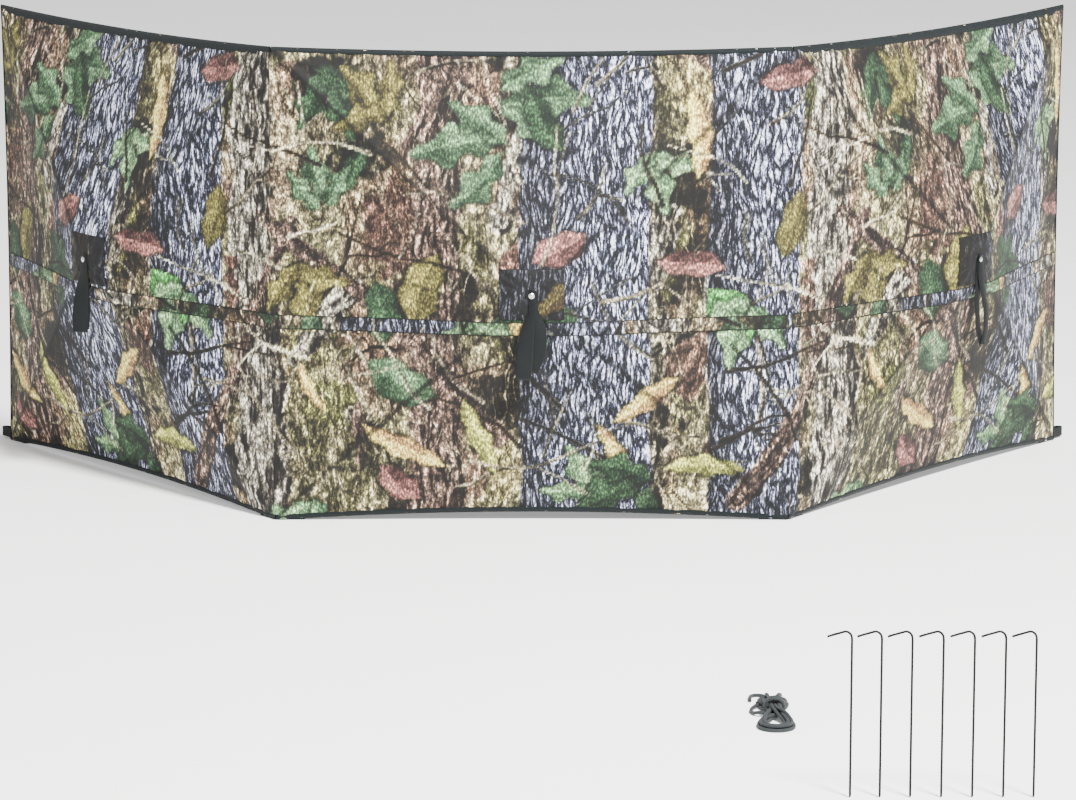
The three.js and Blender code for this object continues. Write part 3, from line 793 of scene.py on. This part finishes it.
for panel in PANELS:
    size = int(PANEL_W / STEP) + 1, int(PANEL_H / STEP) + 1
    a, b = flat_grid(*size)
    ob, u, v = cloth_face(panel, "cloth", a, b, size, HALF_CLOTH, PRINT)
    rgb, bark = paint(u, v)
    rod_crease_shade = 1 - 0.6 * near_rod(a, b, 0.017) * smooth(0.08, 0.2, np.abs(a))
    rgb = rgb * rod_crease_shade[:, None]  # painted shade: darker along the crease where the cloth is drawn over a rod
    print_attributes(ob, u, v, rgb, bark)
    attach(ob, f"{panel}_panel")
    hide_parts(f"{panel}_fabric")
    hold_cloth(ob, panel)
    # on the same grid, so that it stays behind the print everywhere
    inside, u, v = cloth_face(panel, "cloth_inside", a, b, size, -HALF_CLOTH, LINING)
    point_attr(inside, "flat", np.stack([u, v, 0 * u], -1))
    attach(inside, f"{panel}_panel")
    hold_cloth(inside, panel)

# ---- print band and hub patch


def strip(panel, name, a0, a1, b0, b1, na, nb, rise, mat, shift):
    """A piece of cloth sewn on over the panel between a and b limits, its edges turned down."""
    a, b = flat_grid(na, nb, a0, a1, b0, b1)
    edge = np.minimum((b - b0) / (b1 - b0), (b1 - b) / (b1 - b0)) * nb
    pts = skin(panel, a, b, HALF_CLOTH)
    pts[:, 1] -= rise * np.clip(0.35 + edge * 0.65, 0, 1) + 0.0004
    ob = new_mesh(name, place(panel, pts), grid_faces(na, nb))
    u, v = flat_coords(panel, pts)
    u, v = u + shift[0], v + shift[1]
    rgb, bark = paint(u, v)
    rgb = rgb * (0.12 + 0.88 * np.clip(edge, 0, 1))[:, None]
    print_attributes(ob, u, v, rgb, bark)
    ob.data.materials.append(mat)
    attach(ob, f"{panel}_panel")
    squash_with_hub(ob, panel)
    return ob


BAND_V, BAND_H = 0.418, 0.030  # middle height and width of the band
for panel in PANELS:
    b_mid = (BAND_V - MID_Z) / (HALF_H - 0.009)
    half = BAND_H / 2 / HALF_H
    n = 360
    low, high = b_mid - half, b_mid + half
    band = strip(panel, f"{panel}_band", -0.997, 0.997, low, high, n, 10, 0.0011, BAND_PRINT, (0.37, 0.33))
    name = f"{panel}_hub_patch"
    patch = strip(panel, name, -0.125, 0.125, -0.11, 0.11, 60, 50, 0.0013, SHADED_PATCH_PRINT, (0.18, -0.22))

# ---- edge tape


def tape(panel, name, along, into, width, thick=0.0016):
    """Binding folded over a cut edge. along gives edge points (a, b), into points inside the panel."""
    n = len(along)
    rows = []
    for (a, b), (ia, ib) in zip(along, into):
        e = skin(panel, a, b, slack=False)
        d = skin(panel, ia, ib, slack=False) - e
        d = d / np.linalg.norm(d)
        rows.append((e, d))
    face = [(width, 0.0009), (width * 0.55, 0.0009 + thick), (0.004, 0.0010 + thick), (-0.0014, 0.0009)]
    section = face + [(-0.0019, 0.0)] + [(s, -y) for s, y in reversed(face)]
    pts, flat = [], []
    run = 0.0
    for k, (e, d) in enumerate(rows):
        if k:
            run += np.linalg.norm(e - rows[k - 1][0])
        pucker = 0.00035 * math.sin(run * 330)
        for s, y in section:
            p = e + d * s
            p[1] -= y + (pucker if y > 0.001 else 0)
            pts.append(p)
            flat.append((run, s, 0))
    ob = new_mesh(name, place(panel, pts), grid_faces(n, len(section)))
    point_attr(ob, "flat", np.array(flat))
    ob.data.materials.append(TAPE)
    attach(ob, f"{panel}_panel")
    squash_with_hub(ob, panel)


for panel in PANELS:
    t = np.linspace(-0.998, 0.998, 90)
    wide = 0.009 if panel == "centre" else 0.016
    tape(panel, f"{panel}_tape_top", [(x, 1) for x in t], [(x, 0.9) for x in t], wide)
    tape(panel, f"{panel}_tape_bottom", [(x, -1) for x in t], [(x, -0.9) for x in t], 0.010)
    if panel == "left":
        tape(panel, "left_tape_end", [(-1, x) for x in t], [(-0.9, x) for x in t], 0.007)
    if panel == "right":
        tape(panel, "right_tape_end", [(1, x) for x in t], [(0.9, x) for x in t], 0.007)

# ---- fold seams

SEAM_REACH = 0.006  # how far a seam reaches over each panel
for side, panel in ((-1, "left"), (1, "right")):
    start = as_tuple(place("centre", (side * (HALF_W - SEAM_REACH), 0, MID_Z)))
    end = as_tuple(place(panel, (-side * (HALF_W - SEAM_REACH), 0, MID_Z)))
    for face, name, mat in ((1, "fold_seam", PRINT), (-1, "fold_seam_inside", LINING)):
        rows, flat = [], []
        for z in np.linspace(0.012, 0.972, 100):
            for t in np.linspace(-1, 1, 9):
                reach = SEAM_REACH * abs(t)
                off = face * (0.0016 + 0.0010 * (1 - t * t))
                if t < 0:
                    p = place("centre", (side * (HALF_W - reach), -off, z))
                else:
                    p = place(panel, (-side * (HALF_W - reach), -off, z))
                rows.append(p)
                flat.append((side * (HALF_W + SEAM_REACH * t), z, 0))
        ob = new_mesh(f"{panel}_{name}", rows, grid_faces(100, 9, flip=side * face > 0))
        flat = np.array(flat)
        if face > 0:
            print_attributes(ob, flat[:, 0], flat[:, 1], *paint(flat[:, 0], flat[:, 1]))
        else:
            point_attr(ob, "flat", flat)
        ob.data.materials.append(mat)
        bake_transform(ob)

# ---- rope hank

ROPE_D = 0.0062
ROPE_STEP = 0.003
HANK = Vector((0.420, CENTRE_Y - 1.560, 0.0))
HANK_BACK = 0.127  # from there to the near end of the hank

# Millimetres in what follows: across, along the hank and up. The waist is 103 to 121 mm along it.
# Places of the strands in the waist, across and up, on the way down and on the way back up
DOWN = ((-8.4, 9.3), (-2.8, 9.3), (2.8, 9.3), (8.4, 9.3), (-5.8, 15.2))
UP = ((0, 15.2), (5.8, 15.2), (-5.8, 21.2), (0, 21.2), (5.8, 21.2))
# Folds at the two ends: radius, furthest point along and height
FEET = ((31, 4, 3.2), (25, 10, 3.2), (19.5, 16, 3.2), (28, 7, 9.4), (22, 13, 9.4))
HEADS = ((27, 214, 3.2), (21, 205, 3.2), (24, 210, 9.4), (20, 201, 9.4))
WRAP_R = 15.6  # radius of the wraps before they are relaxed
WRAP_POINTS = 34  # at 12 to a turn


def fan(start, end, ys, shares):
    """Points on the way from one (across, up) place to another."""
    across, rise = end[0] - start[0], end[1] - start[1]
    return [(start[0] + across * t, y, start[1] + rise * t) for y, t in zip(ys, shares)]


def fold(middle_x, middle_y, radius, up, first, last):
    """Half a turn round a fold of the hank, from one angle in degrees to the other."""
    angles = np.radians(np.linspace(first, last, 8))
    return [(middle_x + radius * math.cos(w), middle_y + radius * math.sin(w), up) for w in angles]


def hank_route():
    """Five long turns, a loose loop, nearly three wraps round the waist and a bight, as one line."""
    route = [(18, 247, 3.2), (17, 234, 3.3), (16, 224, 7), (14, 212, 14), (11, 198, 15.7), (6, 180, 15)]
    route += [(0, 162, 13), (-5, 142, 11)]
    for k, (down, up, (f, foot, low)) in enumerate(zip(DOWN, UP, FEET)):
        route += fan(down, down, (121, 112, 103), (0, 0, 0))
        route += fan(down, (-f, low), (84, 64), (0.35, 0.8))
        route += fold(0, foot + f, f, low, 180, 360)
        route += fan((f, low), up, (64, 84), (0.2, 0.65))
        route += fan(up, up, (103, 112, 121), (0, 0, 0))
        if k < len(HEADS):
            g, head, high = HEADS[k]
            route += fan(up, (g, high), (138, 158), (0.35, 0.8))
            route += fold(0, head - g, g, high, 0, 180)
            route += fan((-g, high), DOWN[k + 1], (158, 138), (0.2, 0.65))
    route += [(4, 136, 20), (-5, 153, 15), (-17, 165, 8), (-28, 166, 3.6), (-37, 155, 3.2), (-40, 138, 3.2)]
    route += [(-37, 121, 3.2), (-30, 109, 5)]
    for i in range(WRAP_POINTS):
        w = math.pi + i * math.pi / 6
        side = max(-1.0, min(1.0, 2 * math.cos(w)))
        x = WRAP_R * math.cos(w) + 3.7 * side
        route.append((x, 103.5 + 6.4 * i / 12, 3.2 + WRAP_R + WRAP_R * math.sin(w)))
    route += [(-8, 128, 26), (-7, 142, 22.5), (-6, 160, 18.5), (-7, 182, 16.4), (-8, 204, 15.9), (-9, 220, 9)]
    route += fold(-23, 232, 14, 3.2, 0, 180)
    route += [(-37, 220, 3.2), (-37.5, 206, 3.2)]
    return np.array(route) / 1000


def relax(path, rounds):
    """The same line with even steps, its kinks worked out and its strands pushed off each other."""
    for _ in range(rounds):
        run = np.r_[0, np.cumsum(np.linalg.norm(np.diff(path, axis=0), axis=1))]
        even = np.linspace(0, run[-1], int(run[-1] / ROPE_STEP) + 1)
        path = np.stack([np.interp(even, run, path[:, i]) for i in range(3)], -1)
        for weight in (0.33, -0.30):  # smooths without shrinking the turns much
            path[1:-1] += weight * (0.5 * path[:-2] + 0.5 * path[2:] - path[1:-1])
        gap = path[:, None] - path[None]
        dist = np.linalg.norm(gap, axis=2) + 1e-9
        order = np.arange(len(path))
        along = np.abs(order[:, None] - order[None])
        short = np.where(along > 8, np.clip(ROPE_D - dist, 0, None), 0)
        path = path + 0.3 * (gap * (short / dist)[..., None]).sum(1)
        path[:, 2] = np.maximum(path[:, 2], ROPE_D / 2)
    for _ in range(8):
        path[1:-1] = 0.5 * path[1:-1] + 0.25 * (path[:-2] + path[2:])
    return path


def catmull(points, step):
    """A smooth curve through uneven points: Catmull-Rom with centripetal spacing."""
    points = points[np.r_[True, np.linalg.norm(np.diff(points, axis=0), axis=1) > 1e-6]]
    p = np.vstack([2 * points[0] - points[1], points, 2 * points[-1] - points[-2]])
    knot = np.r_[0, np.cumsum(np.sqrt(np.linalg.norm(np.diff(p, axis=0), axis=1)))]
    out = []
    for k in range(1, len(p) - 2):
        n = max(2, int(np.linalg.norm(p[k + 1] - p[k]) / step))
        t0, t1, t2, t3 = knot[k - 1 : k + 3]
        for t in np.linspace(t1, t2, n, endpoint=False):
            a = ((t1 - t) * p[k - 1] + (t - t0) * p[k]) / (t1 - t0)
            b = ((t2 - t) * p[k] + (t - t1) * p[k + 1]) / (t2 - t1)
            c = ((t3 - t) * p[k + 1] + (t - t2) * p[k + 2]) / (t3 - t2)
            d = ((t2 - t) * a + (t - t0) * b) / (t2 - t0)
            e = ((t3 - t) * b + (t - t1) * c) / (t3 - t1)
            out.append(((t2 - t) * d + (t - t1) * e) / (t2 - t1))
    out.append(points[-1])
    return np.array(out)


def rope_material():
    mat, nt, bsdf = new_material("braided_rope")
    flat = attr(nt, "flat").outputs["Vector"]
    sep = nt.nodes.new("ShaderNodeSeparateXYZ")
    nt.links.new(flat, sep.inputs[0])
    turns = times(nt, sep.outputs[1], 8 * math.pi)
    along = times(nt, sep.outputs[0], 2 * math.pi * 230)
    one = math_node(nt, "SINE", plus(nt, turns, along))
    two = math_node(nt, "SINE", math_node(nt, "SUBTRACT", turns, along))
    plait = math_node(nt, "MAXIMUM", one, two)
    fuzz = noise_tex(nt, scaled(nt, flat, (900, 40, 1)), 1.0, 3.0)
    tone = plus(nt, times(nt, plait, 0.3), times(nt, fuzz, 0.7))
    rgb = ramp(nt, tone, [(0.15, lin(1, 4, 5)), (0.5, lin(7, 15, 18)), (0.8, lin(24, 38, 42))])
    nt.links.new(rgb, bsdf.inputs["Base Color"])
    put(bsdf, "Roughness", 0.75)
    put(bsdf, "Sheen Weight", 0.05)
    bump(nt, bsdf, plait, 0.7, 0.0008)
    return mat


def tube(name, path, radius, sides, mat):
    """A capped round tube along a path; also gives the path's length."""
    path = np.asarray(path, float)
    n = len(path)
    tan = np.gradient(path, axis=0)
    tan /= np.linalg.norm(tan, axis=1)[:, None]
    up = np.array([0.0, 0.0, 1.0]) if abs(tan[0][2]) < 0.9 else np.array([0.0, 1.0, 0.0])
    normal = np.cross(tan[0], up)
    normal /= np.linalg.norm(normal)
    radius = np.broadcast_to(radius, n)
    pts, flat, run = [], [], 0.0
    for k in range(n):
        if k:
            run += np.linalg.norm(path[k] - path[k - 1])
            normal = normal - tan[k] * (normal @ tan[k])
            normal /= np.linalg.norm(normal)
        other = np.cross(tan[k], normal)
        for i in range(sides):
            w = 2 * math.pi * i / sides
            pts.append(path[k] + radius[k] * (math.cos(w) * normal + math.sin(w) * other))
            flat.append((run, abs(2 * i / sides - 1), 0))
    faces = [tuple(f) for f in grid_faces(n, sides, close_v=True, flip=True)]
    faces.append(tuple(range(sides)))
    faces.append(tuple(range(n * sides - 1, (n - 1) * sides - 1, -1)))
    ob = new_mesh(name, pts, faces)
    point_attr(ob, "flat", np.array(flat))
    ob.data.materials.append(mat)
    return ob, run


rope_path = relax(catmull(hank_route(), ROPE_STEP), 50) + np.array(HANK)
rope_path[:, 1] -= HANK_BACK
rope_path[:, 2] = np.maximum(rope_path[:, 2], ROPE_D / 2)
rope, rope_length = tube("rope_hank_cord", rope_path, ROPE_D / 2, 12, rope_material())
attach(rope, "rope_hank_body")
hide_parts("rope_hank")
as_tuple(rope_path[0])
[as_tuple(p) for p in rope_path]

# ---- ground stakes

STAKE_X = (0.516, 0.564, 0.613, 0.663, 0.713, 0.763, 0.812)
STAKE_MAT = plain_material("black_wire", lin(2, 2, 3), lin(12, 12, 12), 0.75, 0.0, (300, 300, 60))
SHAFT = (0, 0.003, 0.007, 0.015, 0.035, 0.07, 0.13, 0.19, 0.225, 0.245, 0.255, 0.2615)  # heights
BEND = ((-0.0008, 0, 0.2675), (-0.0029, 0, 0.2712), (-0.006, 0, 0.2738), (-0.010, 0, 0.2750))
HOOK = ((-0.014, 0, 0.2742), (-0.020, 0, 0.2725), (-0.030, 0, 0.2697), (-0.0398, 0, 0.2665))
for k, x in enumerate(STAKE_X):
    path = catmull(np.array([(0, 0, z) for z in SHAFT] + [*BEND, *HOOK]), 0.003)
    radius = np.full(len(path), 0.002)
    radius[:2] = 0.0008, 0.0014  # the point
    path = path + np.array((x, CENTRE_Y - 2.080, 0))
    stake, _ = tube(f"stake_{k + 1}_wire", path, radius, 14, STAKE_MAT)
    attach(stake, f"stake_{k + 1}_body")
    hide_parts(f"stake_{k + 1}")

# ---- pull tabs


STRAP_T = 0.0016
FRONT = -BULGE - 0.0057  # depth of the strap's top end, at the bolt


def ribbon(name, panel, path, across, width):
    """Flat webbing along a path in panel coordinates; across is its width direction at each point."""
    n = len(path)
    tan = np.gradient(path, axis=0)
    tan /= np.linalg.norm(tan, axis=1)[:, None]
    pts, flat, run = [], [], 0.0
    section = [(-1, 0), (-0.9, 1), (0, 1.05), (0.9, 1), (1, 0), (0.9, -1), (0, -1.05), (-0.9, -1)]
    for k in range(n):
        if k:
            run += np.linalg.norm(path[k] - path[k - 1])
        w = across[k] - tan[k] * (across[k] @ tan[k])
        w /= np.linalg.norm(w)
        nrm = np.cross(tan[k], w)
        for s, h in section:
            pts.append(path[k] + w * s * width[k] / 2 + nrm * h * STRAP_T / 2)
            flat.append((s * width[k] / 2, run, 0))
    faces = [tuple(f) for f in grid_faces(n, 8, close_v=True)]
    faces.append(tuple(range(8))[::-1])
    faces.append(tuple(range((n - 1) * 8, n * 8)))
    ob = new_mesh(name, place(panel, pts), faces)
    point_attr(ob, "flat", np.array(flat))
    ob.data.materials.append(STRAP)
    return ob


def tab_path(ctrl):
    """Control rows: across, forward of the plate, up, and the width's turn about Z in degrees."""
    c = np.array(ctrl, float)
    pts = catmull(c[:, :3] * (1, -1, 1) + (0, FRONT, MID_Z), 0.004)
    idx = np.linspace(0, len(c) - 1, len(pts))
    ang = np.radians(np.interp(idx, np.arange(len(c)), c[:, 3]))
    return pts, np.stack([np.cos(ang), -np.sin(ang), 0 * ang], -1)


def tab_pieces(panel, legs, widths):
    """The strap's two legs; the first one stands for the CAD strap."""
    for k, (ctrl, width) in enumerate(zip(legs, widths)):
        pts, across = tab_path(ctrl)
        w = np.interp(np.linspace(0, 1, len(pts)), np.linspace(0, 1, len(width)), width)
        ob = ribbon(f"{panel}_tab_leg_{k + 1}", panel, pts, across, w)
        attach(ob, f"{panel}_tab")
        if k == 0:
            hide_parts(f"{panel}_pull_tab")


tab_pieces("left", [
    [
        (0, 0, 0.010, 0), (0, 0.001, -0.03, -5), (0, 0.006, -0.07, -22),
        (0, 0.010, -0.11, -40), (-0.001, 0.011, -0.156, -44),
    ],
    [
        (0, -0.0018, 0.010, 0), (0, -0.001, -0.03, -3), (0, 0.002, -0.07, -18),
        (0, 0.005, -0.11, -34), (0, 0.006, -0.150, -38),
    ],
], [[0.014, 0.026, 0.036, 0.036, 0.033], [0.014, 0.024, 0.034, 0.036, 0.030]])
tab_pieces("centre", [
    [
        (0.001, 0, 0.010, 0), (0.001, 0.001, -0.03, 24), (-0.008, 0.005, -0.07, 10),
        (-0.014, 0.006, -0.12, -5), (-0.017, 0.006, -0.172, -10),
    ],
    [
        (0.001, -0.0018, 0.010, 0), (0.004, -0.001, -0.03, -8), (0.013, 0.001, -0.07, -10),
        (0.013, 0.001, -0.11, -6), (0, 0.001, -0.158, 0),
    ],
], [[0.012, 0.018, 0.030, 0.034, 0.032], [0.012, 0.020, 0.034, 0.034, 0.026]])
tab_pieces("right", [
    [
        (0, 0, 0.010, 0), (-0.002, -0.001, -0.04, 6), (-0.008, -0.001, -0.08, 0),
        (-0.010, 0.002, -0.115, 0), (-0.008, 0.004, -0.15, 0), (-0.001, 0.007, -0.182, 8),
    ],
    [
        (0, 0.002, 0.010, 0), (0.002, 0.003, -0.04, 6), (0.008, 0.006, -0.08, 0),
        (0.010, 0.011, -0.115, 0), (0.008, 0.012, -0.15, 0), (0.001, 0.0095, -0.182, 8),
    ],
], [[0.014, 0.022, 0.020, 0.019, 0.020, 0.014], [0.014, 0.022, 0.020, 0.019, 0.020, 0.014]])

# ---- carried-over hardware

HUB_MAT = plain_material("moulded_hub", lin(5, 6, 6), lin(22, 24, 24), 0.5, 0.0, (220, 220, 220))
PLATE_MAT = plain_material("moulded_plate", lin(2, 4, 4), lin(12, 17, 17), 0.55, 0.0, (240, 240, 240))
BOLT_MAT = plain_material(
    "plated_bolt", lin(150, 150, 148), lin(226, 226, 222), 0.3, 1.0, (400, 400, 400), 0.0002
)
ROD_MAT = plain_material("fibreglass_rod", lin(8, 9, 10), lin(30, 32, 32), 0.42, 0.0, (160, 160, 160))
FERRULE_MAT = plain_material(
    "drawn_ferrule", lin(138, 140, 142), lin(206, 208, 210), 0.32, 1.0, (260, 260, 260), 0.0002
)
POCKET_MAT = webbing_material("pocket_webbing", lin(2, 4, 4), lin(14, 20, 21), 520, on_cad=True)

# by a part of the node's name; the longer names come before the one they contain
FINISHES = (
    ("_hub_plate", PLATE_MAT), ("_hub_bolt", BOLT_MAT), ("_hub", HUB_MAT),
    ("_pole_", ROD_MAT), ("_ferrule_", FERRULE_MAT), ("_pocket_", POCKET_MAT),
)
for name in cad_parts:
    ob = bpy.data.objects.get(name)
    finish = next((mat for part, mat in FINISHES if part in name), None)
    if finish and ob and ob.type == "MESH":
        ob.data.materials.clear()
        ob.data.materials.append(finish)

# ---- floor and light


def stage_material():
    mat, nt, bsdf = new_material("pale_floor")
    obj = object_coords(nt)
    n = noise_tex(nt, scaled(nt, obj, (0.6, 0.6, 0.6)), 1.0, 2.0)
    nt.links.new(ramp(nt, n, [(0.2, (0.90,) * 3), (0.8, (0.94,) * 3)]), bsdf.inputs["Base Color"])
    put(bsdf, "Roughness", 0.9)
    put(bsdf, "Specular IOR Level", 0.1)
    return mat


R = 30.0  # half the floor's width
floor = new_mesh("floor", [(-R, -R, 0), (R, -R, 0), (R, R, 0), (-R, R, 0)], [(0, 1, 2, 3)], smooth=False)
floor.data.materials.append(stage_material())

world = bpy.data.worlds.new("studio")
bpy.context.scene.world = world
world.use_nodes = True
back = world.node_tree.nodes["Background"]
put(back, "Color", (1.0, 1.0, 1.0, 1))
put(back, "Strength", 0.95)


def area(name, loc, target, size, power, colour):
    light = bpy.data.lights.new(name, "AREA")
    light.shape = "DISK"
    light.size = size
    light.energy = power
    light.color = colour
    ob = bpy.data.objects.new(name, light)
    bpy.context.scene.collection.objects.link(ob)
    ob.location = loc
    ob.rotation_euler = (Vector(target) - Vector(loc)).to_track_quat("-Z", "Y").to_euler()


area("key", (3.2, -5.4, 8.0), (0, 0.3, 0.3), 1.8, 4600, (1.0, 0.99, 0.98))
area("fill", (-5.0, -4.0, 3.0), (0, 0.6, 0.5), 4.0, 60, (0.95, 0.97, 1.0))
